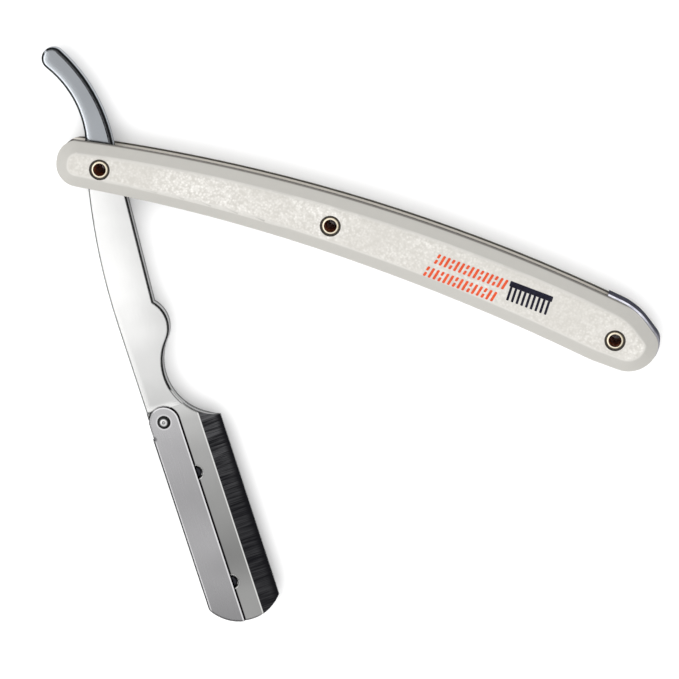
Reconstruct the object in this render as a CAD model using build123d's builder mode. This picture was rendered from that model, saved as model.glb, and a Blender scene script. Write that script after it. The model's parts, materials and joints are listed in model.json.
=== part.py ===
from build123d import *
from math import cos, radians, sin, sqrt
import os

# Barber's straight razor with a replaceable half blade.  Millimetres.
# Origin: the pivot's axis, in the middle of the handle's thickness.
# X runs from the pivot to the end rivet, Z is the pivot's axis.
# The arm is drawn in its own plane: S along the arm from the pivot, T across
# it towards the cutting edge.  At rest the arm stands open.

# ---- handle: two scales, an end spacer and three hollow rivets ----
end_rivet_at = 130.0
middle_rivet_at = 57.0
middle_rivet_above = 4.7
scale_thickness = 2.6
scale_gap = 5.2
scale_wall = 0.5
scale_bevel_width = 3.2
scale_crease_radius = 2.4
front_end_overhang = 10.9
front_end_above = 4.0
front_end_below = 7.0
front_end_slant = 1.7
front_end_radius = 5.3
back_crest_at = 65.0
back_crest_above = 12.3
belly_crest_at = 55.0
belly_crest_below = 1.95
rear_shoulder_past_rivet = 2.4
rear_shoulder_above = 8.35
rear_shoulder_radius = 16.0
rear_nose_past_rivet = 10.35
rear_nose_above = 2.7
rear_nose_radius = 4.2
rear_heel_below = 7.2
rear_heel_radius = 7.2
belly_end_before_rivet = 4.0
belly_end_below = 6.7
belly_end_radius = 25.0
end_spacer_length = 15.3
end_spacer_proud = 0.42
end_spacer_hollow = 1.6
end_spacer_edge = 0.2

# ---- hollow rivets, their rear washers and the thrust washers ----
rivet_bore = 3.15
rivet_wall = 0.3
rivet_flange_width = 0.26
rivet_flange_height = 0.42
rivet_recess_clearance = 0.4
rivet_recess_depth = 0.5
rivet_washer_diameter = 4.9
rivet_washer_thickness = 0.3
rivet_washer_recess_clearance = 0.15
rivet_fit = 0.04
sleeve_wall = 0.75
thrust_washer_diameter = 7.6
pivot_running_gap = 0.05

# ---- arm: tail, tang and rear leaf in one piece ----
rest_angle = -55.2
arm_thickness = 3.4
arm_edge_radius = 0.5
tail_edge_radius = 1.1
tail_tip_at = -28.4
tail_tip_across = -3.4
tail_tip_radius = 2.8
tail_hollow_radius = 23.7
tail_crown_radius = 39.6
tail_crown_end = -5.0
tail_joint_at = -4.0
tang_shoulder_across = 4.3
tang_edge_end = 1.6
back_arc_radius = 160.0
back_arc_end = 38.0
back_across = -8.6
thumb_bump_before_heel = 26.2
thumb_bump_across = -3.6
thumb_bump_radius = 7.25
finger_scoop_radius = 13.2

# ---- head: two leaves that hold half a double edge blade between them ----
# The head's places follow the lock pin, and its end follows the lower stud.
lock_pin_at = 64.06
heel_past_pin = 2.14
edge_across = 8.63
head_end_past_stud = 10.4
head_end_centre_across = 0.3
head_end_radius = 10.8
leaf_seam_before_pin = 3.06
leaf_seam_gap = 0.02
blade_slot = 0.2
leaf_bevel_width = 4.8
leaf_edge_thickness = 0.25
leaf_back_step = 0.4
back_step_run = 0.6
stud_diameter = 2.6
stud_window = 3.4
stud_short_of_face = 0.25
stud_fit = 0.02
upper_stud_past_pin = 14.34
stud_spacing = 28.9
stud_across = -1.45
stud_edge_radius = 0.3

# ---- lock bar: a folded channel that swings about the lock pin ----
bar_sheet = 0.6
bar_side_gap = 0.15
bar_back_gap = 0.25
bar_inner_edge = -1.25
bar_ear_radius = 3.7
bar_fold_past_pin = 3.5
bar_fold_radius = 0.7
bar_relief_radius = 0.4
lock_pin_diameter = 1.8
lock_pin_fit = 0.05
lock_pin_leaf_clearance = 0.3
lock_pin_head_diameter = 3.3
lock_pin_head_height = 0.5
lock_pin_dimple_diameter = 0.9
lock_pin_dimple_depth = 0.25

# ---- worked out from the sizes above ----
scale_inner = scale_gap / 2
scale_outer = scale_inner + scale_thickness
scale_bevel_height = scale_thickness - scale_wall
rivet_shank_radius = rivet_bore / 2 + rivet_wall
rivet_hole_radius = rivet_shank_radius + rivet_fit
rivet_flange_radius = rivet_shank_radius + rivet_flange_width
recess_radius = rivet_flange_radius + rivet_recess_clearance
front_recess_floor = scale_outer - rivet_recess_depth
rivet_front_top = front_recess_floor + rivet_flange_height
rivet_washer_radius = rivet_washer_diameter / 2
rear_recess_radius = rivet_washer_radius + rivet_washer_recess_clearance
rear_recess_depth = rivet_recess_depth + rivet_washer_thickness
rear_recess_floor = -(scale_outer - rear_recess_depth)
rear_washer_face = rear_recess_floor - rivet_washer_thickness
rivet_rear_end = rear_washer_face - rivet_flange_height
arm_half = arm_thickness / 2
slot_half = blade_slot / 2
leaf_back_across = back_across + leaf_back_step
bevel_start_across = edge_across - leaf_bevel_width
bar_inner_half = arm_half + bar_side_gap
bar_outer_half = bar_inner_half + bar_sheet
bar_fold_inside = leaf_back_across - bar_back_gap
bar_fold_outside = bar_fold_inside - bar_sheet
lock_pin_across = bar_inner_edge - bar_ear_radius
heel_at = lock_pin_at + heel_past_pin
thumb_bump_at = heel_at - thumb_bump_before_heel
leaf_seam_at = lock_pin_at - leaf_seam_before_pin
upper_stud_at = lock_pin_at + upper_stud_past_pin
lower_stud_at = upper_stud_at + stud_spacing
head_end_centre_at = lower_stud_at + head_end_past_stud - head_end_radius
lock_pin_radius = lock_pin_diameter / 2
pivot_bore_radius = rivet_shank_radius + pivot_running_gap
well_clear = 40.0

pivot_place = (0.0, 0.0)
middle_place = (middle_rivet_at, middle_rivet_above)
end_place = (end_rivet_at, 0.0)
arm_plane = Plane(
    origin=(0, 0, 0),
    x_dir=(cos(radians(rest_angle)), sin(radians(rest_angle)), 0),
    z_dir=(0, 0, 1),
)


def circles_meet(centre_a, radius_a, centre_b, radius_b, side):
    """The point radius_a from a and radius_b from b, left (1) or right (-1) of a to b."""
    line = Vector(*centre_b) - Vector(*centre_a)
    along = (radius_a**2 - radius_b**2 + line.length**2) / (2 * line.length)
    away = sqrt(radius_a**2 - along**2)
    unit = line.normalized()
    across = Vector(-unit.Y, unit.X)
    return Vector(*centre_a) + unit * along + across * (away * side)


def towards(start, goal, distance):
    """The point that lies distance from start on the way to goal."""
    return Vector(*start) + (Vector(*goal) - Vector(*start)).normalized() * distance


def arc_about(centre, start, end):
    """The shorter arc from start to end of the circle about centre, for the line being built."""
    middle = (Vector(*start) + Vector(*end)) * 0.5
    radius = (Vector(*start) - Vector(*centre)).length
    ThreePointArc(start, towards(centre, middle, radius), end)


def scale_outline():
    """The handle's outline, with its six corners rounded."""
    front_top = (-front_end_overhang - front_end_slant / 2, front_end_above)
    front_bottom = (-front_end_overhang + front_end_slant / 2, -front_end_below)
    shoulder = (end_rivet_at + rear_shoulder_past_rivet, rear_shoulder_above)
    nose = (end_rivet_at + rear_nose_past_rivet, rear_nose_above)
    heel = (end_rivet_at + rear_nose_past_rivet, -rear_heel_below)
    belly_end = (end_rivet_at - belly_end_before_rivet, -belly_end_below)
    belly_crest = (belly_crest_at, -belly_crest_below)
    corners = (
        (front_top, front_end_radius),
        (front_bottom, front_end_radius),
        (shoulder, rear_shoulder_radius),
        (nose, rear_nose_radius),
        (heel, rear_heel_radius),
        (belly_end, belly_end_radius),
    )
    with BuildSketch() as outline:
        with BuildLine():
            ThreePointArc(front_top, (back_crest_at, back_crest_above), shoulder)
            Line(shoulder, nose)
            Line(nose, heel)
            Line(heel, belly_end)
            TangentArc(belly_crest, belly_end, tangent=(1, 0))
            TangentArc(belly_crest, front_bottom, tangent=(-1, 0))
            Line(front_bottom, front_top)
        make_face()
        for place, radius in corners:
            corner = outline.vertices().sort_by_distance(Vector(*place, 0))[0]
            fillet(corner, radius)
    return outline.sketch


def make_scale(outer_face_up):
    """One scale: wall, wide bevel, soft crease and three recessed rivet holes."""
    with BuildPart() as scale:
        with BuildSketch(Plane.XY.offset(scale_inner)):
            add(handle_shape)
        extrude(amount=scale_thickness)
        face = scale.faces().sort_by(Axis.Z)[-1]
        chamfer(face.edges(), length=scale_bevel_width, length2=scale_bevel_height, reference=face)
        crease = scale.faces().sort_by(Axis.Z)[-1].edges()
        fillet(crease, scale_crease_radius)
        recess = recess_radius if outer_face_up else rear_recess_radius
        depth = rivet_recess_depth if outer_face_up else rear_recess_depth
        with Locations(Plane.XY.offset(scale_outer)):
            with Locations(pivot_place, middle_place, end_place):
                CounterBoreHole(rivet_hole_radius, recess, depth)
        if not outer_face_up:
            mirror(about=Plane.XY, mode=Mode.REPLACE)
    return scale.part


def upright_plane(centre):
    """A plane through a centre whose X is the object's X and whose Y is the object's Z."""
    return Plane(origin=centre, x_dir=(1, 0, 0), z_dir=(0, -1, 0))


def make_rivet(place):
    """A hollow rivet: front flange, tube, and a rear end rolled over its washer."""
    bore = rivet_bore / 2
    with BuildPart() as rivet:
        with BuildSketch(upright_plane((place[0], place[1], 0))):
            with BuildLine():
                Line((bore, rivet_rear_end), (bore, rivet_front_top))
                SagittaArc(
                    (bore, rivet_front_top),
                    (rivet_flange_radius, front_recess_floor),
                    rivet_flange_width / 2,
                )
                Line(
                    (rivet_flange_radius, front_recess_floor),
                    (rivet_shank_radius, front_recess_floor),
                )
                Line(
                    (rivet_shank_radius, front_recess_floor),
                    (rivet_shank_radius, rear_washer_face),
                )
                Line(
                    (rivet_shank_radius, rear_washer_face),
                    (rivet_flange_radius, rear_washer_face),
                )
                SagittaArc(
                    (rivet_flange_radius, rear_washer_face),
                    (bore, rivet_rear_end),
                    rivet_flange_width / 2,
                )
            make_face()
        revolve(axis=Axis((place[0], place[1], 0), (0, 0, 1)))
    return rivet.part


def make_ring(place, inner_radius, outer_radius, bottom, top):
    """A flat ring about a rivet, between two heights."""
    with BuildPart() as ring:
        with BuildSketch(Plane.XY.offset(bottom)):
            with Locations(place):
                Circle(outer_radius)
                Circle(inner_radius, mode=Mode.SUBTRACT)
        extrude(amount=top - bottom)
    return ring.part


def head_end(across):
    """Where the rounded end of the head lies along the arm, at a place across it."""
    rise = across - head_end_centre_across
    return head_end_centre_at + sqrt(head_end_radius**2 - rise**2)


def arm_outline():
    """The arm's whole outline, tail to head, in the arm's own plane."""
    tip = (tail_tip_at, tail_tip_across)
    back_centre = (back_arc_end, back_across + back_arc_radius)
    hollow = circles_meet(
        tip,
        tail_hollow_radius + tail_tip_radius,
        back_centre,
        back_arc_radius + tail_hollow_radius,
        -1,
    )
    shoulder = (tail_crown_end, tang_shoulder_across)
    crown = circles_meet(tip, tail_crown_radius - tail_tip_radius, shoulder, tail_crown_radius, -1)
    bump = (thumb_bump_at, thumb_bump_across)
    bump_start_run = sqrt(thumb_bump_radius**2 - (tang_edge_end - thumb_bump_across) ** 2)
    bump_start = (thumb_bump_at - bump_start_run, tang_edge_end)
    heel = (heel_at, edge_across)
    scoop = circles_meet(bump, thumb_bump_radius + finger_scoop_radius, heel, finger_scoop_radius, 1)
    bump_end = towards(bump, scoop, thumb_bump_radius)
    tip_back = towards(tip, hollow, tail_tip_radius)
    tip_front = towards(crown, tip, tail_crown_radius)
    hollow_end = towards(hollow, back_centre, tail_hollow_radius)
    tip_end = towards(tip, shoulder, -tail_tip_radius)
    back_step_at = lock_pin_at + bar_fold_past_pin - back_step_run / 2
    edge_end = (head_end(edge_across), edge_across)
    back_end = (head_end(leaf_back_across), leaf_back_across)
    head_tip = (head_end_centre_at + head_end_radius, head_end_centre_across)
    with BuildSketch() as outline:
        with BuildLine():
            ThreePointArc(tip_back, tip_end, tip_front)
            arc_about(crown, tip_front, shoulder)
            Line(shoulder, bump_start)
            arc_about(bump, bump_start, bump_end)
            arc_about(scoop, bump_end, heel)
            Line(heel, edge_end)
            ThreePointArc(edge_end, head_tip, back_end)
            Line(back_end, (back_step_at, leaf_back_across))
            Line((back_step_at, leaf_back_across), (back_step_at - back_step_run, back_across))
            Line((back_step_at - back_step_run, back_across), (back_arc_end, back_across))
            arc_about(back_centre, (back_arc_end, back_across), hollow_end)
            arc_about(hollow, hollow_end, tip_back)
        make_face()
    return outline.sketch


def arm_slab(start, end, bottom, top):
    """The stretch of the arm's outline from start to end, between two heights."""
    with BuildPart() as slab:
        with BuildSketch(arm_plane.offset(bottom)):
            add(arm_shape)
            with Locations(((start + end) / 2, 0)):
                Rectangle(end - start, 2 * well_clear, mode=Mode.INTERSECT)
        extrude(amount=top - bottom)
    return slab.part


def arm_point(along, across, height):
    """A point of the arm's plane as a point of the whole object."""
    return arm_plane.from_local_coords(Vector(along, across, height))


def bevel_prism(side):
    """The wedge that is ground off the head, in front (1) or behind (-1)."""
    section = Plane(
        origin=arm_point(leaf_seam_at, 0, 0),
        x_dir=arm_plane.y_dir,
        z_dir=arm_plane.x_dir,
    )
    edge_height = slot_half + leaf_edge_thickness
    slope = (arm_half - edge_height) / leaf_bevel_width
    beyond = 1.0
    with BuildPart() as wedge:
        with BuildSketch(section):
            Polygon(
                (bevel_start_across, side * arm_half),
                (edge_across + beyond, side * (edge_height - slope * beyond)),
                (edge_across + beyond, side * (arm_half + beyond)),
                (bevel_start_across, side * (arm_half + beyond)),
                align=None,
            )
        extrude(amount=well_clear * 2)
    return wedge.part


def arm_cylinder(along, across, radius, bottom, top):
    """An upright cylinder at a place in the arm's plane."""
    with BuildPart() as post:
        with BuildSketch(arm_plane.offset(bottom)):
            with Locations((along, across)):
                Circle(radius)
        extrude(amount=top - bottom)
    return post.part


def flat_edges(part, height):
    """The edges of a part that lie flat in both faces at plus and minus a height."""
    return part.edges().filter_by(
        lambda edge: abs(abs(edge.center().Z) - height) < 0.001
        and abs(abs((edge @ 0).Z) - height) < 0.001
    )


def along_arm(shape):
    """How far along the arm a shape's centre lies."""
    return arm_plane.to_local_coords(shape.center()).X


def across_arm(shape):
    """How far across the arm a shape's centre lies."""
    return arm_plane.to_local_coords(shape.center()).Y


def make_tail():
    """The finger tail, with strongly rounded edges, up to its joint with the tang."""
    start = tail_tip_at - well_clear / 2
    with BuildPart() as tail:
        add(arm_slab(start, tail_joint_at, -arm_half, arm_half))
        rounded = flat_edges(tail, arm_half).filter_by(lambda e: along_arm(e) < tail_joint_at - 0.01)
        fillet(rounded, tail_edge_radius)
    return tail.part


def make_arm():
    """Tail, tang and rear leaf: one piece, slotted for the blade."""
    with BuildPart() as tang:
        add(arm_slab(tail_joint_at, head_end_centre_at + well_clear, -arm_half, arm_half))
        with BuildSketch(arm_plane.offset(-slot_half)):
            with Locations((leaf_seam_at + well_clear, 0)):
                Rectangle(2 * well_clear, 2 * well_clear)
        extrude(amount=well_clear, mode=Mode.SUBTRACT)
        add(bevel_prism(-1), mode=Mode.SUBTRACT)
        rounded = flat_edges(tang, arm_half).filter_by(
            lambda e: tail_joint_at + 0.01 < along_arm(e) < leaf_seam_at - 0.01
        )
        fillet(rounded, arm_edge_radius)
        add(make_tail())
        through = (-arm_half, arm_half)
        add(arm_cylinder(0, 0, pivot_bore_radius, *through), mode=Mode.SUBTRACT)
        pin_hole = arm_cylinder(
            lock_pin_at, lock_pin_across, lock_pin_radius + stud_fit, *through
        )
        add(pin_hole, mode=Mode.SUBTRACT)
        for stud_at in (upper_stud_at, lower_stud_at):
            hole = arm_cylinder(stud_at, stud_across, stud_diameter / 2 + stud_fit, *through)
            add(hole, mode=Mode.SUBTRACT)
    return tang.part


def make_front_leaf():
    """The head's front leaf, joined to the tang at its seam."""
    with BuildPart() as leaf:
        start = leaf_seam_at + leaf_seam_gap
        add(arm_slab(start, head_end_centre_at + well_clear, slot_half, arm_half))
        add(bevel_prism(1), mode=Mode.SUBTRACT)
        through = (slot_half, arm_half)
        pin_hole_radius = lock_pin_radius + lock_pin_leaf_clearance
        add(
            arm_cylinder(lock_pin_at, lock_pin_across, pin_hole_radius, *through),
            mode=Mode.SUBTRACT,
        )
        for stud_at in (upper_stud_at, lower_stud_at):
            window = arm_cylinder(stud_at, stud_across, stud_window / 2, *through)
            add(window, mode=Mode.SUBTRACT)
    return leaf.part


def make_stud(along):
    """A stud that holds the blade: fixed in the rear leaf, round topped."""
    with BuildPart() as stud:
        with BuildSketch(arm_plane.offset(-arm_half)):
            with Locations((along, stud_across)):
                Circle(stud_diameter / 2)
        extrude(amount=2 * arm_half - stud_short_of_face)
        fillet(stud.edges().sort_by(Axis.Z)[-1], stud_edge_radius)
    return stud.part


def make_lock_bar():
    """The folded channel: two plates, each with a round ear, joined along the back."""
    fold_start = lock_pin_at + bar_fold_past_pin
    end_inner = (head_end(bar_inner_edge), bar_inner_edge)
    end_fold = (head_end(bar_fold_outside), bar_fold_outside)
    end_middle_across = (bar_inner_edge + bar_fold_outside) / 2
    end_middle = (head_end(end_middle_across), end_middle_across)
    ear_back = lock_pin_across - bar_ear_radius
    ear_top = (lock_pin_at - bar_ear_radius, lock_pin_across)
    with BuildPart() as bar:
        with BuildSketch(arm_plane.offset(-bar_outer_half)):
            with BuildLine():
                ThreePointArc((lock_pin_at, ear_back), ear_top, (lock_pin_at, bar_inner_edge))
                Line((lock_pin_at, bar_inner_edge), end_inner)
                ThreePointArc(end_inner, end_middle, end_fold)
                Line(end_fold, (fold_start, bar_fold_outside))
                Line((fold_start, bar_fold_outside), (fold_start, ear_back))
                Line((fold_start, ear_back), (lock_pin_at, ear_back))
            make_face()
        extrude(amount=2 * bar_outer_half)
        folds = flat_edges(bar, bar_outer_half).filter_by(
            lambda e: abs(across_arm(e) - bar_fold_outside) < 0.01
        )
        fillet(folds, bar_fold_radius)
        with BuildSketch(arm_plane.offset(-bar_inner_half)):
            with Locations((lock_pin_at, bar_fold_inside + well_clear / 2)):
                Rectangle(4 * well_clear, well_clear)
            with Locations((fold_start - well_clear / 2, 0)):
                Rectangle(well_clear, well_clear)
        extrude(amount=2 * bar_inner_half, mode=Mode.SUBTRACT)
        add(
            arm_cylinder(
                lock_pin_at,
                lock_pin_across,
                lock_pin_radius + lock_pin_fit,
                -bar_outer_half,
                bar_outer_half,
            ),
            mode=Mode.SUBTRACT,
        )
        relief = arm_cylinder(
            fold_start, ear_back, bar_relief_radius, -bar_outer_half, bar_outer_half
        )
        add(relief, mode=Mode.SUBTRACT)
    return bar.part


def make_lock_pin():
    """The bar's pin: a plain shank with a domed, dimpled head at each end."""
    centre = arm_point(lock_pin_at, lock_pin_across, 0)
    head_radius = lock_pin_head_diameter / 2
    dimple_radius = lock_pin_dimple_diameter / 2
    dimple_floor_radius = dimple_radius / 2
    base = bar_outer_half
    top = base + lock_pin_head_height
    floor = top - lock_pin_dimple_depth
    with BuildPart() as pin:
        with BuildSketch(upright_plane(centre)):
            with BuildLine():
                for side in (1, -1):
                    Line((0, side * floor), (dimple_floor_radius, side * floor))
                    Line((dimple_floor_radius, side * floor), (dimple_radius, side * top))
                    SagittaArc(
                        (dimple_radius, side * top),
                        (head_radius, side * base),
                        side * lock_pin_head_height / 4,
                    )
                    Line((head_radius, side * base), (lock_pin_radius, side * base))
                Line((lock_pin_radius, base), (lock_pin_radius, -base))
                Line((0, -floor), (0, floor))
            make_face()
        revolve(axis=Axis(centre, (0, 0, 1)))
    return pin.part


def make_end_spacer():
    """The metal spacer that closes the rear end, proud of the scales along the back only."""
    inner_at = end_rivet_at + rear_nose_past_rivet - end_spacer_length
    with BuildPart() as spacer:
        with BuildSketch(Plane.XY.offset(-scale_inner)):
            add(handle_shape)
            with Locations((end_spacer_proud / 2, end_spacer_proud)):
                add(handle_shape)
            with Locations((inner_at + well_clear / 2, 0)):
                Rectangle(well_clear, 2 * well_clear, mode=Mode.INTERSECT)
            hollow_half = rear_heel_below
            hollow_radius = (hollow_half**2 + end_spacer_hollow**2) / (2 * end_spacer_hollow)
            with Locations((inner_at + end_spacer_hollow - hollow_radius, 0)):
                Circle(hollow_radius, mode=Mode.SUBTRACT)
            with Locations(end_place):
                Circle(rivet_hole_radius, mode=Mode.SUBTRACT)
        extrude(amount=scale_gap)
        rims = spacer.edges().group_by(Axis.Z)
        chamfer([e for rim in (rims[0], rims[-1]) for e in rim if is_outer(e)], end_spacer_edge)
    return spacer.part


def is_outer(edge):
    """Whether an edge of the end spacer runs round the rear end of the handle."""
    middle = edge @ 0.5
    beyond_nose = middle.X > end_rivet_at + rear_nose_past_rivet - end_spacer_length / 2
    return beyond_nose and (middle - Vector(*end_place, middle.Z)).length > 2 * rivet_hole_radius


handle_shape = scale_outline()
arm_shape = arm_outline()

parts = {}
parts["front_scale"] = make_scale(True)
parts["rear_scale"] = make_scale(False)
parts["end_spacer"] = make_end_spacer()
rivet_places = {"pivot": pivot_place, "middle": middle_place, "end": end_place}
for rivet_name, rivet_place in rivet_places.items():
    parts[rivet_name + "_rivet"] = make_rivet(rivet_place)
    parts[rivet_name + "_rivet_washer"] = make_ring(
        rivet_place, rivet_hole_radius, rivet_washer_radius, rear_washer_face, rear_recess_floor
    )
parts["middle_sleeve"] = make_ring(
    middle_place, rivet_hole_radius, rivet_hole_radius + sleeve_wall, -scale_inner, scale_inner
)
thrust_radius = thrust_washer_diameter / 2
thrust_face = arm_half + pivot_running_gap
parts["front_thrust_washer"] = make_ring(
    pivot_place, rivet_hole_radius, thrust_radius, thrust_face, scale_inner
)
parts["rear_thrust_washer"] = make_ring(
    pivot_place, rivet_hole_radius, thrust_radius, -scale_inner, -thrust_face
)
parts["arm"] = make_arm()
parts["front_leaf"] = make_front_leaf()
parts["lock_bar"] = make_lock_bar()
parts["lock_pin"] = make_lock_pin()
parts["upper_blade_stud"] = make_stud(upper_stud_at)
parts["lower_blade_stud"] = make_stud(lower_stud_at)

os.makedirs("parts", exist_ok=True)
for name, part in parts.items():
    part.label = name
    export_step(part, f"parts/{name}.step")
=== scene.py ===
import json
from math import cos, radians, sin

import bmesh
import bpy
from mathutils import Matrix, Vector


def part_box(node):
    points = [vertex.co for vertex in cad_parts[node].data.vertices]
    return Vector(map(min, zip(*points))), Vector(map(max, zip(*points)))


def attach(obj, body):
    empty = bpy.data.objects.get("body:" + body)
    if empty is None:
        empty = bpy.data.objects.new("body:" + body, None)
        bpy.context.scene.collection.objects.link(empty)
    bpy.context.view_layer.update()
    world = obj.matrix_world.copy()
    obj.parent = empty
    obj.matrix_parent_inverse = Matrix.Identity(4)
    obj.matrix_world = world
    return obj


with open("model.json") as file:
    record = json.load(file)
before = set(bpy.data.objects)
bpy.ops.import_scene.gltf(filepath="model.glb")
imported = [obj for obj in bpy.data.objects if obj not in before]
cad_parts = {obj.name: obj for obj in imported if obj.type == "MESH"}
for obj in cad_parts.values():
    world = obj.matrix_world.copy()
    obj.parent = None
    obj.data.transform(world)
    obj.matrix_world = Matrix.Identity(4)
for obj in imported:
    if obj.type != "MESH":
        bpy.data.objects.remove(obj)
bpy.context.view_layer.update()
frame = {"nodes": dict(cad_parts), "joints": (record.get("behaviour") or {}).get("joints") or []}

# Metres, in the row frame: X along the handle's chord, Z out of the front scale.
MM = 0.001
nodes = frame["nodes"]
joints = {joint["name"]: joint for joint in frame["joints"]}

# The arm's own directions, read from the leaf's hinge line.
across_arm = -Vector(joints["leaf_flex"]["axis"]).normalized()
along_arm = across_arm.cross(Vector((0, 0, 1))).normalized()
lock_pin_centre = Vector(joints["lock_swing"]["pos_m"])


def middle(name):
    """The middle of a CAD node's box."""
    low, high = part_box(name)
    return (low + high) / 2


def reach_of(name, direction):
    """The least and the most that a CAD node's vertices reach along a direction."""
    reaches = [v.co.dot(direction) for v in nodes[name].data.vertices]
    return min(reaches), max(reaches)


rivet_centres = [middle(name) for name in ("pivot_rivet", "middle_rivet", "end_rivet")]
rivet_outer_radius = (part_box("pivot_rivet")[1].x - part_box("pivot_rivet")[0].x) / 2
pin_head_radius = (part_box("lock_pin")[1].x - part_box("lock_pin")[0].x) / 2
stud_centres = [middle(name) for name in ("upper_blade_stud", "lower_blade_stud")]
face_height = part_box("front_scale")[1].z
inner_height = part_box("front_scale")[0].z
floor_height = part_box("rear_scale")[0].z
bar_edge = reach_of("lock_bar", across_arm)[1]
cutting_edge = reach_of("front_leaf", across_arm)[1]


def crest_circle():
    """Centre and radius of the handle's back, through three of the scale's own corners."""
    rim = [v.co for v in nodes["rear_scale"].data.vertices if abs(v.co.z + inner_height) < 0.01 * MM]
    ends = rivet_centres[0].x, rivet_centres[1].x + 8 * MM, rivet_centres[2].x - 14 * MM
    picks = []
    for x in ends:
        near = [co for co in rim if abs(co.x - x) < 9 * MM and co.y > 2 * MM]
        picks.append(max(near, key=lambda co: co.y) if near else max(rim, key=lambda co: co.y))
    (ax, ay), (bx, by), (cx, cy) = [(co.x, co.y) for co in picks]
    twice_area = 2 * (ax * (by - cy) + bx * (cy - ay) + cx * (ay - by))
    squares = [x * x + y * y for x, y in ((ax, ay), (bx, by), (cx, cy))]
    x = (squares[0] * (by - cy) + squares[1] * (cy - ay) + squares[2] * (ay - by)) / twice_area
    y = (squares[0] * (cx - bx) + squares[1] * (ax - cx) + squares[2] * (bx - ax)) / twice_area
    return Vector((x, y, 0)), ((ax - x) ** 2 + (ay - y) ** 2) ** 0.5


# ---- small helpers for shader nodes ----

def new_material(name):
    """A material with an empty tree, its Principled shader, and its object coordinates."""
    material = bpy.data.materials.new(name)
    material.use_nodes = True
    tree = material.node_tree
    tree.nodes.clear()
    output = tree.nodes.new("ShaderNodeOutputMaterial")
    shader = tree.nodes.new("ShaderNodeBsdfPrincipled")
    tree.links.new(shader.outputs[0], output.inputs["Surface"])
    place = tree.nodes.new("ShaderNodeTexCoord").outputs["Object"]
    return material, tree, shader, place


def put(tree, socket, value):
    """Set a socket to a constant, or link it to another node's output."""
    if isinstance(value, bpy.types.NodeSocket):
        tree.links.new(value, socket)
    else:
        socket.default_value = value


def math_node(tree, operation, first, second=0.0):
    """One arithmetic step between two values."""
    node = tree.nodes.new("ShaderNodeMath")
    node.operation = operation
    put(tree, node.inputs[0], first)
    put(tree, node.inputs[1], second)
    return node.outputs[0]


def times(tree, *values):
    """The product of several values."""
    product = values[0]
    for value in values[1:]:
        product = math_node(tree, "MULTIPLY", product, value)
    return product


def dot_node(tree, vector, direction):
    """How far a vector reaches along a direction."""
    node = tree.nodes.new("ShaderNodeVectorMath")
    node.operation = "DOT_PRODUCT"
    put(tree, node.inputs[0], vector)
    node.inputs[1].default_value = tuple(direction)
    return node.outputs["Value"]


def ramp_node(tree, value, low, high, out_low=0.0, out_high=1.0):
    """A smooth step of a value from one range to another."""
    node = tree.nodes.new("ShaderNodeMapRange")
    node.interpolation_type = "SMOOTHSTEP"
    put(tree, node.inputs["Value"], value)
    node.inputs["From Min"].default_value = low
    node.inputs["From Max"].default_value = high
    node.inputs["To Min"].default_value = out_low
    node.inputs["To Max"].default_value = out_high
    return node.outputs["Result"]


def band_node(tree, value, low, high, soft):
    """One between two values, falling softly to zero outside them."""
    rise = ramp_node(tree, value, low - soft, low + soft)
    fall = ramp_node(tree, value, high - soft, high + soft, 1.0, 0.0)
    return times(tree, rise, fall)


def blend_value(tree, amount, first, second):
    """A blend of two values."""
    node = tree.nodes.new("ShaderNodeMix")
    put(tree, node.inputs["Factor"], amount)
    put(tree, node.inputs["A"], first)
    put(tree, node.inputs["B"], second)
    return node.outputs["Result"]


def blend_colour(tree, amount, first, second):
    """A blend of two colours."""
    node = tree.nodes.new("ShaderNodeMix")
    node.data_type = "RGBA"
    sockets = [socket for socket in node.inputs if socket.type == "RGBA"]
    put(tree, node.inputs["Factor"], amount)
    put(tree, sockets[0], (*first, 1.0) if isinstance(first, tuple) else first)
    put(tree, sockets[1], (*second, 1.0) if isinstance(second, tuple) else second)
    return [socket for socket in node.outputs if socket.type == "RGBA"][0]


def levels_node(tree, value, levels):
    """A level that changes along a value, through pairs of place in mm and level."""
    start, end = levels[0][0] * MM, levels[-1][0] * MM
    scaled = tree.nodes.new("ShaderNodeMapRange")
    put(tree, scaled.inputs["Value"], value)
    scaled.inputs["From Min"].default_value = start
    scaled.inputs["From Max"].default_value = end
    ramp = tree.nodes.new("ShaderNodeValToRGB")
    put(tree, ramp.inputs["Fac"], scaled.outputs["Result"])
    ramp.color_ramp.interpolation = "EASE"
    stops = ramp.color_ramp.elements
    while len(stops) < len(levels):
        stops.new(0.5)
    for stop, (place, level) in zip(stops, levels):
        stop.position = (place * MM - start) / (end - start)
        stop.color = (level, level, level, 1.0)
    return ramp.outputs["Color"]


def streak_place(tree, place, along, across, along_scale, across_scale):
    """Flat coordinates that run at one scale along a direction and at another across it."""
    join = tree.nodes.new("ShaderNodeCombineXYZ")
    put(tree, join.inputs["X"], times(tree, dot_node(tree, place, along), along_scale))
    put(tree, join.inputs["Y"], times(tree, dot_node(tree, place, across), across_scale))
    return join.outputs[0]


def noise_node(tree, place, scale, detail=3.0, roughness=0.55):
    """Cloudy noise, 0 to 1, at a number of cells per metre."""
    node = tree.nodes.new("ShaderNodeTexNoise")
    put(tree, node.inputs["Vector"], place)
    node.inputs["Scale"].default_value = scale
    node.inputs["Detail"].default_value = detail
    node.inputs["Roughness"].default_value = roughness
    return node.outputs["Fac"]


def away_node(tree, place, centre):
    """How far a point lies from an upright axis."""
    flat = tree.nodes.new("ShaderNodeVectorMath")
    flat.operation = "MULTIPLY"
    put(tree, flat.inputs[0], place)
    flat.inputs[1].default_value = (1.0, 1.0, 0.0)
    node = tree.nodes.new("ShaderNodeVectorMath")
    node.operation = "DISTANCE"
    put(tree, node.inputs[0], flat.outputs["Vector"])
    node.inputs[1].default_value = (centre.x, centre.y, 0.0)
    return node.outputs["Value"]


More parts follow.
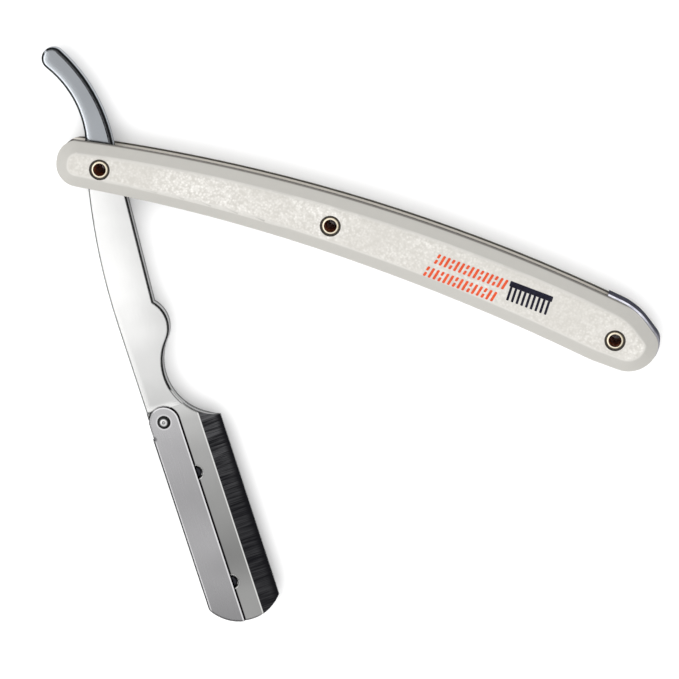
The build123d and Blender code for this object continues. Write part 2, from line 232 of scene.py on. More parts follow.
def bump_node(tree, height, distance, strength=1.0):
    """A bumped normal from a height, with its depth in metres."""
    node = tree.nodes.new("ShaderNodeBump")
    node.inputs["Strength"].default_value = strength
    node.inputs["Distance"].default_value = distance
    put(tree, node.inputs["Height"], height)
    return node.outputs["Normal"]


def own_normal(tree):
    """The surface's direction in the object's own space."""
    return tree.nodes.new("ShaderNodeTexCoord").outputs["Normal"]


def rounded_normal(tree, radius):
    """The surface's own direction, as if its edges were rounded off."""
    bevel = tree.nodes.new("ShaderNodeBevel")
    bevel.samples = 6
    bevel.inputs["Radius"].default_value = radius
    turn = tree.nodes.new("ShaderNodeVectorTransform")
    turn.vector_type = "NORMAL"
    turn.convert_from = "WORLD"
    turn.convert_to = "OBJECT"
    tree.links.new(bevel.outputs["Normal"], turn.inputs["Vector"])
    return turn.outputs["Vector"]


# ---- plastic ----

PANEL = (0.440, 0.424, 0.392)
PANEL_FLECK = (0.66, 0.645, 0.615)
# Painted shade: the bevels' plastic, painted darker than the flat face to stand in for their shading.
SHADED_BEVEL = (0.385, 0.375, 0.350)
# Painted shade: near-black for the dark line at the back rim, the side walls and the gap between the
# scales.
RIM_SHADE = (0.045, 0.038, 0.03)
# Painted highlight: the lit cream line on the scales' inner faces, just inside the back rim.
RIM_LIT_CREAM = (0.74, 0.70, 0.63)
UP = (0.0, 0.0, 1.0)
PEBBLES_PER_METRE = 1500.0
PEBBLE_DEPTH = 0.04 * MM


def pearl_plastic():
    """Warm moulded plastic: pebbled flat face, smoother bevels painted darker as shade, a painted
    highlight where the flat face turns into the bevels, and painted shade as a dark line at the back rim
    and on the side walls.
    """
    material, tree, shader, place = new_material("pearl_plastic")
    normal = own_normal(tree)
    upright = math_node(tree, "ABSOLUTE", dot_node(tree, normal, UP))
    flat = ramp_node(tree, upright, 0.90, 1.0)
    pebble = tree.nodes.new("ShaderNodeTexVoronoi")
    pebble.feature = "SMOOTH_F1"
    put(tree, pebble.inputs["Vector"], place)
    pebble.inputs["Scale"].default_value = PEBBLES_PER_METRE
    pebble.inputs["Smoothness"].default_value = 0.5
    grain = ramp_node(tree, pebble.outputs["Distance"], 0.15, 0.6, 1.0, 0.0)
    cloud = ramp_node(tree, noise_node(tree, place, 900.0, 4.0, 0.65), 0.38, 0.66)
    drift = ramp_node(tree, noise_node(tree, place, 60.0, 2.0), 0.35, 0.65, 0.35, 1.0)
    fleck = times(tree, math_node(tree, "ADD", grain, cloud), 0.5, drift)
    face = blend_colour(tree, fleck, PANEL, PANEL_FLECK)
    clouding = ramp_node(tree, noise_node(tree, place, 700.0), 0.3, 0.7, 0.0, 0.12)
    # Painted shade: the bevels take the darker colour, with random clouding.
    shade = blend_colour(tree, clouding, SHADED_BEVEL, PANEL)
    colour = blend_colour(tree, flat, shade, face)
    # Painted highlight: a lighter line where the flat face turns into the bevels.
    crease = band_node(tree, upright, 0.90, 0.965, 0.02)
    colour = blend_colour(tree, times(tree, crease, 0.25), colour, PANEL_FLECK)
    centre, radius = crest_circle()
    depth = math_node(tree, "SUBTRACT", radius, away_node(tree, place, centre))
    # Painted shade: a dark line just inside the handle's back rim.
    near_rim = ramp_node(tree, depth, 0.08 * MM, 0.46 * MM, 0.80, 0.0)
    colour = blend_colour(tree, near_rim, colour, RIM_SHADE)
    # Painted shade: the side walls darkened towards near-black.
    wall = ramp_node(tree, upright, 0.25, 0.10, 0.0, 0.75)
    colour = blend_colour(tree, wall, colour, RIM_SHADE)
    put(tree, shader.inputs["Base Color"], colour)
    put(tree, shader.inputs["Roughness"], ramp_node(tree, fleck, 0.0, 1.0, 0.45, 0.34))
    shader.inputs["Coat Weight"].default_value = 0.15
    shader.inputs["Coat Roughness"].default_value = 0.15
    shader.inputs["Specular IOR Level"].default_value = 0.4
    put(tree, shader.inputs["Normal"], bump_node(tree, times(tree, fleck, flat), PEBBLE_DEPTH, 0.7))
    return material


def inner_plastic():
    """The scales' inner faces: painted shade for the gap between the scales, with random specks, and a
    painted highlight as a cream line just inside the back rim.
    """
    material, tree, shader, place = new_material("inner_plastic")
    centre, radius = crest_circle()
    depth = math_node(tree, "SUBTRACT", radius, away_node(tree, place, centre))
    # Painted highlight on a band just inside the rim; painted shade elsewhere.
    line = band_node(tree, depth, 0.40 * MM, 0.92 * MM, 0.06 * MM)
    speck = ramp_node(tree, noise_node(tree, place, 1200.0), 0.3, 0.7, 0.0, 0.5)
    painted_shade = blend_colour(tree, speck, RIM_SHADE, (0.12, 0.11, 0.095))
    put(tree, shader.inputs["Base Color"], blend_colour(tree, line, painted_shade, RIM_LIT_CREAM))
    shader.inputs["Roughness"].default_value = 0.6
    return material


def recess_shadow():
    """Painted shade: the dark ring of plastic round a sunk rivet, with random specks."""
    material, tree, shader, place = new_material("recess_shade")
    speck = noise_node(tree, place, 3000.0)
    painted_shade = blend_colour(tree, speck, (0.012, 0.010, 0.008), (0.05, 0.04, 0.03))
    put(tree, shader.inputs["Base Color"], painted_shade)
    put(tree, shader.inputs["Roughness"], ramp_node(tree, speck, 0.3, 0.7, 0.5, 0.75))
    return material


# ---- steel ----

# Painted reflection: the steel's brightness along the arm, as pairs of place in mm and level.
TAIL_REFLECTION_LEVELS = ((-30, 0.345), (-20, 0.35), (-8, 0.375))
TANG_REFLECTION_LEVELS = ((0, 0.86), (30, 0.88), (40, 0.80), (48, 0.70), (61, 0.57))
LEAF_REFLECTION_LEVELS = ((61, 0.57), (66, 0.46), (74, 0.375), (88, 0.30), (101, 0.225), (112, 0.32))
BAR_REFLECTION_LEVELS = ((60, 0.47), (74, 0.40), (84, 0.34), (96, 0.38), (104, 0.335), (118, 0.26))
TAIL_BLUE = (0.93, 0.98, 1.04)
OUTLINE_ROUNDING = 0.9 * MM
HIGHLIGHT_ROUNDING = 3.2 * MM
SEAM_REACH = (57.0 * MM, 63.5 * MM)
SEAM_PAST_PIN = (2.0 * MM, 5.9 * MM)
# Painted highlight round the stud windows, and painted shade inside them.
WINDOW_RIM_HIGHLIGHT = (1.74 * MM, 1.98 * MM)
WINDOW_SHADE = (1.66 * MM, 1.76 * MM)
ARM_BRUSHING, BAR_BRUSHING = 5200.0, 4200.0
BRUSH_DEPTH = 0.004 * MM
GRINDING_DEPTH = 0.02 * MM
EDGE_TINT = (0.40, 0.40, 0.41, 1.0)

# Outlines that face this way are dark in the photo and get painted shade; those that face away from it
# are bright and get a painted highlight.
dark_way = 0.92 * across_arm - 0.39 * along_arm


def arm_level(tree, place):
    """Painted reflection: grey up the tail, near white on the tang and grey again towards the head,
    lighter towards the back of the tail and tang.
    """
    reach = dot_node(tree, place, along_arm)
    across = dot_node(tree, place, across_arm)
    tail = levels_node(tree, reach, TAIL_REFLECTION_LEVELS)
    tang = levels_node(tree, reach, TANG_REFLECTION_LEVELS)
    # Painted reflection: lighter towards the back, darker towards the cutting side.
    fade = ramp_node(tree, across, -6.5 * MM, 3.5 * MM, 1.07, 0.84)
    fade = blend_value(tree, ramp_node(tree, reach, 36 * MM, 56 * MM), fade, 1.0)
    on_tang = ramp_node(tree, reach, -1 * MM, 2 * MM)
    return bar_edge_shadow(tree, place, blend_value(tree, on_tang, tail, times(tree, tang, fade)))


def leaf_level(tree, place):
    """The leaf's painted reflection greys, its painted highlight line above the bevel, and its two stud
    windows with painted highlight rings and painted shade inside.
    """
    level = levels_node(tree, dot_node(tree, place, along_arm), LEAF_REFLECTION_LEVELS)
    across = dot_node(tree, place, across_arm)
    # Painted highlight: a light line just above the ground bevel.
    line = band_node(tree, across, bevel_start - 0.34 * MM, bevel_start - 0.05 * MM, 0.06 * MM)
    level = blend_value(tree, times(tree, line, 0.75), level, 0.80)
    level = bar_edge_shadow(tree, place, level)
    for centre in stud_centres:
        away = away_node(tree, place, centre)
        # Painted highlight round each window's rim, painted shade inside it.
        level = blend_value(tree, band_node(tree, away, *WINDOW_RIM_HIGHLIGHT, 0.05 * MM), level, 0.78)
        level = blend_value(tree, ramp_node(tree, away, *WINDOW_SHADE, 1.0, 0.0), level, 0.02)
    return level


def past_lock_pin(tree, place):
    """How far a point lies from the lock pin towards the cutting edge."""
    across = dot_node(tree, place, across_arm)
    return math_node(tree, "SUBTRACT", across, lock_pin_centre.dot(across_arm))


def bar_distance(tree, place):
    """How far a point lies outside the lock bar's inner edge and its round ear."""
    offset = past_lock_pin(tree, place)
    past = math_node(tree, "SUBTRACT", lock_pin_centre.dot(along_arm), dot_node(tree, place, along_arm))
    past = math_node(tree, "MAXIMUM", past, 0.0)
    square = math_node(tree, "ADD", times(tree, offset, offset), times(tree, past, past))
    ear_radius = bar_edge - lock_pin_centre.dot(across_arm)
    return math_node(tree, "SUBTRACT", math_node(tree, "SQRT", square), ear_radius)


def bar_edge_shadow(tree, place, level):
    """The painted shadow line beside the lock bar's inner edge and round its ear."""
    dark = band_node(tree, bar_distance(tree, place), -0.5 * MM, 0.34 * MM, 0.07 * MM)
    return blend_value(tree, dark, level, 0.015)


def bar_level(tree, place):
    """The bar's painted reflection greys, with a painted highlight line along its inner edge and a
    painted highlight ring round the lock pin.
    """
    level = levels_node(tree, dot_node(tree, place, along_arm), BAR_REFLECTION_LEVELS)
    line = band_node(tree, bar_distance(tree, place), -0.34 * MM, 0.2 * MM, 0.06 * MM)
    level = blend_value(tree, times(tree, line, 0.7), level, 0.85)
    # Painted highlight: a light ring round the lock pin.
    ring = band_node(tree, away_node(tree, place, lock_pin_centre), 1.5 * MM, 2.0 * MM, 0.12 * MM)
    return blend_value(tree, times(tree, ring, 0.5), level, 0.75)


def steel(name, tint, level_of, roughness, streak_scale, highlight, dark_side):
    """Brushed steel: fine lines along the arm, with painted shade on the edges on the right and a
    painted highlight on the left.
    """
    material, tree, shader, place = new_material(name)
    brushed = streak_place(tree, place, along_arm, across_arm, streak_scale * 0.05, streak_scale)
    lines = noise_node(tree, brushed, 1.0, 3.0, 0.6)
    cloud = noise_node(tree, place, 110.0, 3.0, 0.5)
    speck = noise_node(tree, place, 2600.0, 2.0, 0.6)
    level = level_of(tree, place)
    wear = math_node(tree, "ADD", times(tree, lines, 0.10), times(tree, cloud, 0.14))
    level = times(tree, level, math_node(tree, "ADD", wear, 0.88))
    level = edge_shading(tree, place, level, highlight, dark_side)
    tail = ramp_node(tree, dot_node(tree, place, along_arm), 2 * MM, -4 * MM)
    colour = blend_colour(tree, level, (0.0, 0.0, 0.0), blend_colour(tree, tail, tint, TAIL_BLUE))
    put(tree, shader.inputs["Base Color"], colour)
    shader.inputs["Metallic"].default_value = 1.0
    shader.inputs["Specular Tint"].default_value = EDGE_TINT
    dullness = ramp_node(tree, lines, 0.3, 0.7, roughness - 0.03, roughness + 0.04)
    put(tree, shader.inputs["Roughness"], dullness)
    grain = math_node(tree, "ADD", lines, speck)
    put(tree, shader.inputs["Normal"], bump_node(tree, grain, BRUSH_DEPTH, 0.3))
    return material


def leaf_seam(tree, place):
    """One along the leaf's joint with the tang, so that its edges don't read as outlines."""
    reach = band_node(tree, dot_node(tree, place, along_arm), *SEAM_REACH, 0.4 * MM)
    return times(tree, reach, band_node(tree, past_lock_pin(tree, place), *SEAM_PAST_PIN, 0.4 * MM))


def edge_shading(tree, place, level, highlight, dark_side):
    """Painted light on polished edges: a painted highlight falling off from the back, painted dark
    outlines on both sides, painted shade on the side walls and a painted light line along their middle.
    """
    upright = math_node(tree, "ABSOLUTE", dot_node(tree, own_normal(tree), UP))
    # Painted highlight: a broad light falling off from the back edge.
    soft = rounded_normal(tree, HIGHLIGHT_ROUNDING)
    soft_up = math_node(tree, "ABSOLUTE", dot_node(tree, soft, UP))
    soft_side = ramp_node(tree, dot_node(tree, soft, dark_way), 0.0, -0.12)
    soft_back = times(tree, ramp_node(tree, soft_up, 1.0, 0.92), soft_side)
    level = blend_value(tree, times(tree, soft_back, 0.80 * highlight), level, 0.95)
    rounded = rounded_normal(tree, OUTLINE_ROUNDING)
    rounded_up = math_node(tree, "ABSOLUTE", dot_node(tree, rounded, UP))
    rounded_side = dot_node(tree, rounded, dark_way)
    clear = math_node(tree, "SUBTRACT", 1.0, leaf_seam(tree, place))
    # Painted highlight: a light band just inside the back outline.
    faces_left = ramp_node(tree, rounded_side, -0.02, -0.15)
    bright = times(tree, ramp_node(tree, rounded_up, 0.995, 0.95), faces_left, clear)
    level = blend_value(tree, times(tree, bright, 0.8 * highlight), level, 1.0)
    # Painted shade: a dark outline on the back edges.
    line_start = 0.965 if highlight else 0.985
    back_line = times(tree, ramp_node(tree, rounded_up, line_start, line_start - 0.07), clear)
    back_line = times(tree, back_line, ramp_node(tree, rounded_side, 0.0, -0.2))
    level = blend_value(tree, back_line, level, 0.02)
    # Painted shade: a dark band on the edges facing the cutting side.
    on_tang = ramp_node(tree, dot_node(tree, place, along_arm), 0.0, 10 * MM)
    narrow = ramp_node(tree, rounded_up, 0.955, 0.86)
    dark_up = blend_value(tree, on_tang, narrow, ramp_node(tree, rounded_up, 0.985, 0.93))
    faces_right = ramp_node(tree, rounded_side, -0.05, 0.12)
    dark = times(tree, dark_up, faces_right, clear)
    level = blend_value(tree, times(tree, dark, dark_side), level, 0.015)
    # Painted shade on the side walls.
    wall = ramp_node(tree, upright, 0.35, 0.15)
    level = blend_value(tree, wall, level, 0.22)
    # Painted highlight: a light line along the middle of the cutting-side walls.
    height = band_node(tree, dot_node(tree, place, UP), -0.3 * MM, 1.1 * MM, 0.15 * MM)
    across = dot_node(tree, place, across_arm)
    inside = ramp_node(tree, across, cutting_edge - 0.5 * MM, cutting_edge - 1.5 * MM)
    middle_line = times(tree, wall, height, inside, faces_right)
    return blend_value(tree, middle_line, level, 0.80)


def ground_bevel():
    """Coarse-ground steel: its lines run straight across to a black edge; the grinding lines are its
    own, their darkness is a painted dark reflection, lighter nearer the tang.
    """
    material, tree, shader, place = new_material("ground_bevel")
    fine_place = streak_place(tree, place, across_arm, along_arm, 90.0, 3600.0)
    fine = noise_node(tree, fine_place, 1.0, 4.0, 0.7)
    broad_place = streak_place(tree, place, across_arm, along_arm, 90.0, 700.0)
    broad = noise_node(tree, broad_place, 1.0, 2.0, 0.5)
    lines = math_node(tree, "ADD", times(tree, fine, 0.7), times(tree, broad, 0.3))
    cut = ramp_node(tree, lines, 0.38, 0.62)
    width = cutting_edge - bevel_start
    across = dot_node(tree, place, across_arm)
    # Painted reflection: the lines run dark towards the cutting edge.
    kept = ramp_node(tree, across, bevel_start + 0.60 * width, bevel_start + 0.95 * width, 1.0, 0.0)
    # Painted reflection: the lines are lighter nearer the tang.
    top = ramp_node(tree, dot_node(tree, place, along_arm), 66 * MM, 92 * MM, 1.0, 0.35)
    cut = times(tree, cut, kept, top)
    colour = blend_colour(tree, cut, (0.010, 0.010, 0.012), (0.115, 0.115, 0.12))
    put(tree, shader.inputs["Base Color"], colour)
    shader.inputs["Metallic"].default_value = 1.0
    shader.inputs["Specular Tint"].default_value = (0.25, 0.25, 0.26, 1.0)
    put(tree, shader.inputs["Roughness"], ramp_node(tree, fine, 0.3, 0.7, 0.24, 0.36))
    put(tree, shader.inputs["Normal"], bump_node(tree, lines, GRINDING_DEPTH, 0.5))
    return material


def pin_steel():
    """The lock pin: dome painted bright, with a painted dark reflection round its rim and painted shade
    in its dimple.
    """
    material, tree, shader, place = new_material("pin_steel")
    away = away_node(tree, place, lock_pin_centre)
    cloud = ramp_node(tree, noise_node(tree, place, 900.0), 0.3, 0.7, 0.62, 0.85)
    # Painted reflection: dark round the dome's rim.
    dark_ring = ramp_node(tree, away, 0.36 * pin_head_radius, 0.66 * pin_head_radius)
    level = blend_value(tree, dark_ring, cloud, 0.02)
    # Painted shade in the dimple.
    dimple = ramp_node(tree, away, 0.30 * pin_head_radius, 0.22 * pin_head_radius)
    level = blend_value(tree, times(tree, dimple, 0.6), level, 0.25)
    put(tree, shader.inputs["Base Color"], blend_colour(tree, level, (0.0, 0.0, 0.0), (1.0, 1.0, 1.0)))
    shader.inputs["Metallic"].default_value = 1.0
    shader.inputs["Roughness"].default_value = 0.16
    return material


def polished(name, light, dark, roughness):
    """Polished metal with faint clouding."""
    material, tree, shader, place = new_material(name)
    cloud = ramp_node(tree, noise_node(tree, place, 320.0, 3.0), 0.3, 0.7)
    put(tree, shader.inputs["Base Color"], blend_colour(tree, cloud, dark, light))
    shader.inputs["Metallic"].default_value = 1.0
    put(tree, shader.inputs["Roughness"], ramp_node(tree, cloud, 0.0, 1.0, roughness, roughness + 0.08))
    return material


def spacer_metal():
    """The end spacer: a painted lilac-white highlight on its upper faces, fading out at the nose;
    painted grey shade on its walls and lower half.
    """
    material, tree, shader, place = new_material("spacer_metal")
    normal = own_normal(tree)
    end_x = rivet_centres[2].x
    height = dot_node(tree, place, UP)
    cloud = ramp_node(tree, noise_node(tree, place, 500.0), 0.3, 0.7)
    pale = blend_colour(tree, cloud, (0.55, 0.55, 0.64), (0.86, 0.86, 0.94))
    upright = math_node(tree, "ABSOLUTE", dot_node(tree, normal, UP))
    nose = ramp_node(tree, dot_node(tree, place, (1, 0, 0)), end_x + 3 * MM, end_x + 9 * MM, 1.0, 0.12)
    front_half = ramp_node(tree, height, -0.5 * MM, 0.5 * MM)
    # Painted highlight on the upper faces of the front half; painted grey shade elsewhere.
    lit = times(tree, ramp_node(tree, upright, 0.25, 0.6), nose, front_half)
    colour = blend_colour(tree, lit, (0.30, 0.30, 0.33), pale)
    put(tree, shader.inputs["Base Color"], colour)
    put(tree, shader.inputs["Metallic"], math_node(tree, "SUBTRACT", 1.0, times(tree, lit, 0.8)))
    shader.inputs["Specular Tint"].default_value = (0.08, 0.08, 0.10, 1.0)
    shader.inputs["Roughness"].default_value = 0.30
    return material


# ---- brass ----

def brass():
    """Bright rolled brass, a little tarnished in patches."""
    material, tree, shader, place = new_material("rivet_brass")
    tarnish = ramp_node(tree, noise_node(tree, place, 1500.0, 4.0), 0.5, 0.8)
    colour = blend_colour(tree, tarnish, (0.93, 0.84, 0.66), (0.66, 0.52, 0.30))
    put(tree, shader.inputs["Base Color"], colour)
    shader.inputs["Metallic"].default_value = 1.0
    put(tree, shader.inputs["Roughness"], ramp_node(tree, tarnish, 0.0, 1.0, 0.30, 0.42))
    return material


def dark_bore():
    """The inside of a hollow rivet: brown with tarnish, darker towards the top of the bore."""
    material, tree, shader, place = new_material("bore_tarnish")
    patch = ramp_node(tree, noise_node(tree, place, 1100.0, 4.0), 0.35, 0.65)
    deep = ramp_node(tree, dot_node(tree, place, UP), 3.2 * MM, 4.7 * MM)
    rust = blend_colour(tree, patch, (0.14, 0.028, 0.012), (0.42, 0.14, 0.055))
    put(tree, shader.inputs["Base Color"], blend_colour(tree, deep, rust, (0.05, 0.02, 0.01)))
    shader.inputs["Metallic"].default_value = 0.2
    shader.inputs["Roughness"].default_value = 0.5
    return material


def print_ink(name, light, dark):
    """Pad-printed ink: matt, with slightly uneven cover."""
    material, tree, shader, place = new_material(name)
    cover = ramp_node(tree, noise_node(tree, place, 1800.0, 3.0), 0.35, 0.7)
    put(tree, shader.inputs["Base Color"], blend_colour(tree, cover, dark, light))
    put(tree, shader.inputs["Roughness"], ramp_node(tree, cover, 0.0, 1.0, 0.45, 0.6))
    shader.inputs["Specular IOR Level"].default_value = 0.12
    return material


# ---- which node gets which finish ----

def dress(name, material):
    """Give a CAD node one material, in its first slot."""
    mesh = nodes[name].data
    mesh.materials.clear()
    mesh.materials.append(material)
    for face in mesh.polygons:
        face.material_index = 0
    return mesh


def dress_faces(mesh, material, wanted):
    """Add one more material on the faces that wanted picks."""
    mesh.materials.append(material)
    index = len(mesh.materials) - 1
    for face in mesh.polygons:
        if wanted(face):
            face.material_index = index


def off_rivet(point):
    """How far a point lies from the nearest rivet's axis."""
    return min((Vector(point).xy - centre.xy).length for centre in rivet_centres)


GROUND_LEAST_UPRIGHT = 0.93


def is_ground(face):
    """Whether a face of the head lies on one of its two ground bevels."""
    tilted = sin(radians(10)) < face.normal.dot(across_arm) < sin(radians(25))
    return tilted and abs(face.normal.z) > GROUND_LEAST_UPRIGHT


def is_sunk(face, vertices):
    """Whether a face of a scale belongs to the sunk ring round a rivet."""
    corners = [vertices[i].co for i in face.vertices]
    sunk = abs(face.center.z) < face_height - 0.02 * MM
    return sunk and all(off_rivet(corner) < recess_reach for corner in corners)


def is_inner(face):
    """Whether a face of a scale looks into the gap between the scales."""
    return abs(face.center.z) < inner_height + 0.01 * MM


def dress_all():
    """Every CAD node gets its finish."""
    pearl = pearl_plastic()
    inner = inner_plastic()
    painted_shade = recess_shadow()
    metal = brass()
    bore = dark_bore()
    arm_steel = steel("arm_steel", (1.0, 1.0, 0.99), arm_level, 0.20, ARM_BRUSHING, 1.0, 1.0)
    leaf_steel = steel("leaf_steel", (1.0, 1.0, 0.985), leaf_level, 0.20, ARM_BRUSHING, 0.0, 1.0)
    bar_steel = steel("bar_steel", (0.99, 0.98, 1.0), bar_level, 0.24, BAR_BRUSHING, 0.0, 0.0)
    ground = ground_bevel()
    dull = polished("hidden_steel", (0.60, 0.60, 0.61), (0.45, 0.45, 0.46), 0.30)
    # Painted shade: the studs are near-black, standing in for the shade in the leaf's windows.
    stud = polished("shaded_stud_steel", (0.045, 0.045, 0.05), (0.015, 0.015, 0.02), 0.14)

    for name in ("front_scale", "rear_scale"):
        mesh = dress(name, pearl)
        dress_faces(mesh, inner, is_inner)
        # Painted shade on the sunk rings round the rivets.
        dress_faces(mesh, painted_shade, lambda face: is_sunk(face, mesh.vertices))
    bore_radius = min(off_rivet(v.co) for v in nodes["pivot_rivet"].data.vertices)
    for name in ("pivot_rivet", "middle_rivet", "end_rivet"):
        mesh = dress(name, metal)
        dress_faces(mesh, bore, lambda face: off_rivet(face.center) < bore_radius + 0.02 * MM)
        dress(name + "_washer", metal)
    for name, finish in (("arm", arm_steel), ("front_leaf", leaf_steel)):
        mesh = dress(name, finish)
        dress_faces(mesh, ground, is_ground)
    dress("lock_bar", bar_steel)
    dress("lock_pin", pin_steel())
    dress("upper_blade_stud", stud)
    dress("lower_blade_stud", stud)
    dress("end_spacer", spacer_metal())
    for name in ("middle_sleeve", "front_thrust_washer", "rear_thrust_washer"):
        dress(name, dull)


recess_reach = rivet_outer_radius + 0.55 * MM
leaf_mesh = nodes["front_leaf"].data
ground_faces = [face for face in leaf_mesh.polygons if is_ground(face)]
ground_corners = [leaf_mesh.vertices[i].co for face in ground_faces for i in face.vertices]
bevel_start = min(corner.dot(across_arm) for corner in ground_corners)


# ---- printed marks on the front scale: a plain hatch in two rows, and a plain comb ----

PRINT_THICKNESS = 0.02 * MM
ROW_STARTS = (83.2 * MM, 81.6 * MM)
ROW_HEIGHTS = (4.1 * MM, 0.4 * MM)
ROW_HEIGHT = 2.6 * MM
STROKES_IN_ROW = 15
STROKE_PITCH = 1.22 * MM
STROKE_WIDTH = 0.66 * MM
STROKE_LEAN = 0.55 * MM
SHORT_STROKE = 0.42
COMB_START, COMB_LENGTH = 102.0 * MM, 10.8 * MM
COMB_SPINE_AT, COMB_SPINE_HEIGHT = 5.4 * MM, 1.4 * MM
COMB_TOOTH_LENGTH, COMB_TEETH = 3.4 * MM, 9
PRINT_FALL = radians(-2.5)


def flat_shape(name, outlines, material):
    """Thin printed shapes that lie on the front scale's face."""
    mesh = bpy.data.meshes.new(name)
    shape = bmesh.new()
    for outline in outlines:
        corners = [shape.verts.new((x, y, face_height)) for x, y in outline]
        base = shape.faces.new(corners)
        raised = bmesh.ops.extrude_face_region(shape, geom=[base])
        tops = [v for v in raised["geom"] if isinstance(v, bmesh.types.BMVert)]
        bmesh.ops.translate(shape, vec=(0, 0, PRINT_THICKNESS), verts=tops)
    bmesh.ops.recalc_face_normals(shape, faces=shape.faces)
    shape.to_mesh(mesh)
    shape.free()
    mesh.materials.append(material)
    piece = bpy.data.objects.new(name, mesh)
    bpy.context.collection.objects.link(piece)
    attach(piece, "handle")


def slanted_bar(left, right, low, high, lean=0.0, rounding=0.16 * MM):
    """A bar with clipped corners, leaning along X."""
    corners = [
        (left + rounding, low),
        (right - rounding, low),
        (right, low + rounding),
        (right + lean, high - rounding),
        (right + lean - rounding, high),
        (left + lean + rounding, high),
        (left + lean, high - rounding),
        (left, low + rounding),
    ]
    return [(x, y + (x - ROW_STARTS[1]) * PRINT_FALL) for x, y in corners]


def hatch_row(start, low):
    """A row of leaning strokes; every third one is cut into two short ones."""
    strokes = []
    for index in range(STROKES_IN_ROW):
        left = start + index * STROKE_PITCH
        high = low + ROW_HEIGHT
        if index % 3:
            strokes.append(slanted_bar(left, left + STROKE_WIDTH, low, high, STROKE_LEAN))
            continue
        part = ROW_HEIGHT * SHORT_STROKE
        lean = STROKE_LEAN * SHORT_STROKE
        shift = STROKE_LEAN - lean
        strokes.append(slanted_bar(left, left + STROKE_WIDTH, low, low + part, lean))
        strokes.append(slanted_bar(left + shift, left + shift + STROKE_WIDTH, high - part, high, lean))
    return strokes


def print_marks():
    """Two rows of orange hatching, and a dark comb beside them."""
    orange = print_ink("orange_ink", (0.60, 0.085, 0.030), (0.48, 0.055, 0.018))
    navy = print_ink("navy_ink", (0.010, 0.010, 0.022), (0.004, 0.004, 0.010))
    for row, (start, low) in enumerate(zip(ROW_STARTS, ROW_HEIGHTS)):
        flat_shape(f"print_hatch_{row + 1}", hatch_row(start, low), orange)
    spine_top = COMB_SPINE_AT + COMB_SPINE_HEIGHT
    comb = [slanted_bar(COMB_START, COMB_START + COMB_LENGTH, COMB_SPINE_AT, spine_top)]
    tooth_pitch = COMB_LENGTH / COMB_TEETH
    tooth_low = COMB_SPINE_AT - COMB_TOOTH_LENGTH
    for index in range(COMB_TEETH):
        left = COMB_START + (index + 0.25) * tooth_pitch
        comb.append(slanted_bar(left, left + tooth_pitch * 0.5, tooth_low, COMB_SPINE_AT, 0.0, 0.1 * MM))
    flat_shape("print_comb", comb, navy)


# ---- camera, floor and light ----

CAMERA_DISTANCE = 0.8
AIM = Vector((67.1, -22.3, 0)) * MM
HANDLE_DROOP = radians(17.33)
LOOK_FROM_RIGHT, LOOK_FROM_ABOVE = 0.12, 0.22
LENS = 175.2
SENSOR_WIDTH = 36.0
NEAREST_SEEN = 0.01
FLOOR_SIZE = 4.0

view_right = Vector((cos(HANDLE_DROOP), sin(HANDLE_DROOP), 0))
view_up = Vector((-sin(HANDLE_DROOP), cos(HANDLE_DROOP), 0))
view_out = Vector((0, 0, 1))


def make_camera():
    """The camera looks down on the razor, a little from the right and from above."""
    towards_camera = (view_out + view_right * LOOK_FROM_RIGHT + view_up * LOOK_FROM_ABOVE).normalized()
    side = view_up.cross(towards_camera).normalized()
    top = towards_camera.cross(side)
    camera = bpy.data.objects.new("camera", bpy.data.cameras.new("camera"))
    camera.data.lens = LENS
    camera.data.sensor_width = SENSOR_WIDTH
    camera.data.clip_start = NEAREST_SEEN
    turn = Matrix((side, top, towards_camera)).transposed().to_4x4()
    camera.matrix_world = Matrix.Translation(AIM + towards_camera * CAMERA_DISTANCE) @ turn
    bpy.context.collection.objects.link(camera)
    bpy.context.scene.camera = camera


FLOOR_DROP = 0.02 * MM


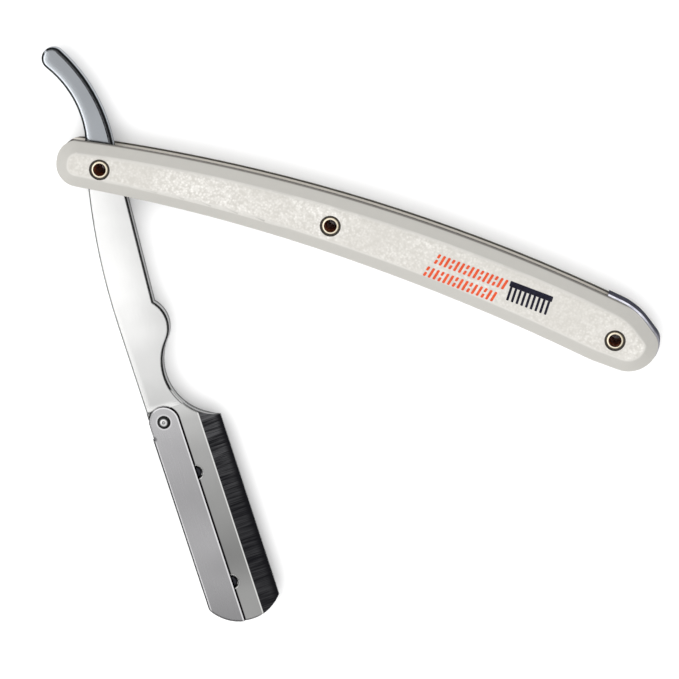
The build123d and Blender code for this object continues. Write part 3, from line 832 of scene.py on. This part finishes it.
def make_floor():
    """A wide pale floor just under the rear scale, so that the two faces don't coincide."""
    floor_place = (AIM.x, AIM.y, floor_height - FLOOR_DROP)
    bpy.ops.mesh.primitive_plane_add(size=FLOOR_SIZE, location=floor_place)
    floor = bpy.context.object
    floor.name = "floor"
    material, tree, shader, place = new_material("floor_white")
    cloud = noise_node(tree, place, 4.0)
    colour = blend_colour(tree, cloud, (0.93, 0.93, 0.93), (0.95, 0.95, 0.95))
    put(tree, shader.inputs["Base Color"], colour)
    shader.inputs["Roughness"].default_value = 0.9
    shader.inputs["Specular IOR Level"].default_value = 0.1
    floor.data.materials.append(material)


CARD_STRENGTH = 0.45


def make_world():
    """Studio surroundings: brightest overhead, a white card to the left, dimmer to the right."""
    world = bpy.data.worlds.new("studio")
    bpy.context.scene.world = world
    world.use_nodes = True
    tree = world.node_tree
    tree.nodes.clear()
    output = tree.nodes.new("ShaderNodeOutputWorld")
    background = tree.nodes.new("ShaderNodeBackground")
    tree.links.new(background.outputs[0], output.inputs["Surface"])
    direction = tree.nodes.new("ShaderNodeTexCoord").outputs["Generated"]
    height = dot_node(tree, direction, UP)
    sideways = dot_node(tree, direction, view_right)
    sky = ramp_node(tree, height, 0.10, 0.80, 0.62, 1.06)
    above_floor = ramp_node(tree, height, 0.0, 0.2)
    card = times(tree, ramp_node(tree, sideways, -0.25, -0.6), above_floor, CARD_STRENGTH)
    dim = ramp_node(tree, sideways, 0.15, 0.55, 1.0, 0.72)
    strength = math_node(tree, "ADD", times(tree, sky, dim), card)
    background.inputs["Color"].default_value = (1.0, 1.0, 1.0, 1.0)
    put(tree, background.inputs["Strength"], strength)


def make_area(name, place, size, power):
    """A soft square light aimed at the razor, unseen in its polish."""
    light = bpy.data.objects.new(name, bpy.data.lights.new(name, "AREA"))
    light.data.size = size
    light.data.energy = power
    light.location = AIM + place
    light.rotation_euler = (-place).to_track_quat("-Z", "Y").to_euler()
    light.visible_glossy = False
    bpy.context.collection.objects.link(light)


def make_lights():
    """A very broad overhead light, and a weaker one from the front of the table."""
    make_area("overhead", view_out * 1.1, 2.2, 12.0)
    make_area("front", view_out * 0.9 - view_up * 0.6, 1.2, 3.0)


dress_all()
print_marks()
make_floor()
make_world()
make_lights()
make_camera()
bpy.context.scene.view_settings.view_transform = "Standard"
